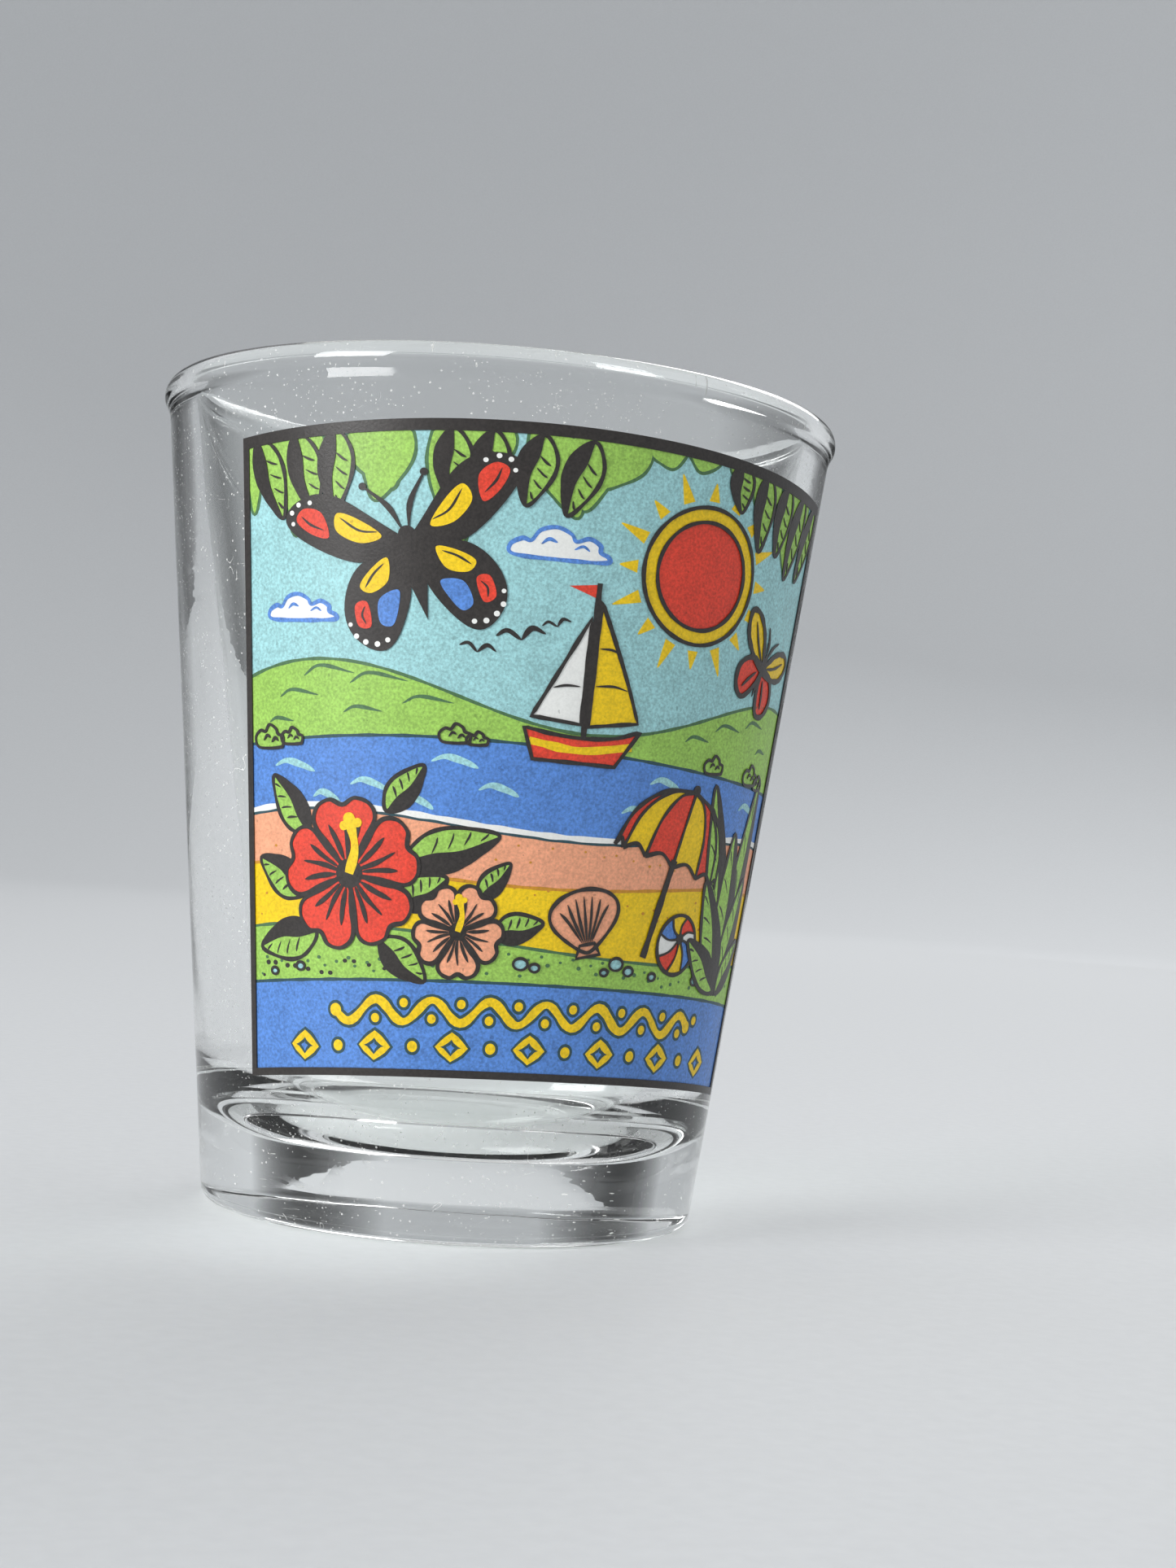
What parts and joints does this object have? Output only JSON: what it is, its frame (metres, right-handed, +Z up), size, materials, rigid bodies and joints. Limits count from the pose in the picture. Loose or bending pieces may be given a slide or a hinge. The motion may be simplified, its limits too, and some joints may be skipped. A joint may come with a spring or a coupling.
{
  "type": "shot glass",
  "caption": "Small pressed-glass tumbler for spirits with tapered wall, rounded rim, heavy base and a colourful printed panel on one side.",
  "frame": {"origin": "centre of the face it stands on, at table level", "axes": "+Z up along the glass's axis; the printed panel faces -Y; +X is to the right of someone looking at the panel"},
  "size_m": [0.048, 0.048, 0.057],
  "materials": {
    "clear_glass": "clear pressed soda-lime glass, fire-polished, faint grey-green tint",
    "white_enamel": "fired screen-print enamel, satin",
    "light_blue_enamel": "fired screen-print enamel, satin, finely mottled",
    "green_enamel": "fired screen-print enamel, satin, finely mottled",
    "salmon_enamel": "fired screen-print enamel, satin, finely mottled",
    "yellow_enamel": "fired screen-print enamel, satin, finely mottled",
    "deep_blue_enamel": "fired screen-print enamel, satin, finely mottled",
    "red_enamel": "fired screen-print enamel, satin, finely mottled",
    "black_enamel": "fired screen-print enamel, semi-gloss"
  },
  "bodies": {
    "root": {"glass_tumbler": "clear_glass", "white_underprint": "white_enamel", "light_blue_ink": "light_blue_enamel", "green_ink": "green_enamel", "salmon_ink": "salmon_enamel", "yellow_ink": "yellow_enamel", "deep_blue_ink": "deep_blue_enamel", "red_ink": "red_enamel", "black_key_ink": "black_enamel"}
  },
  "joints": []
}
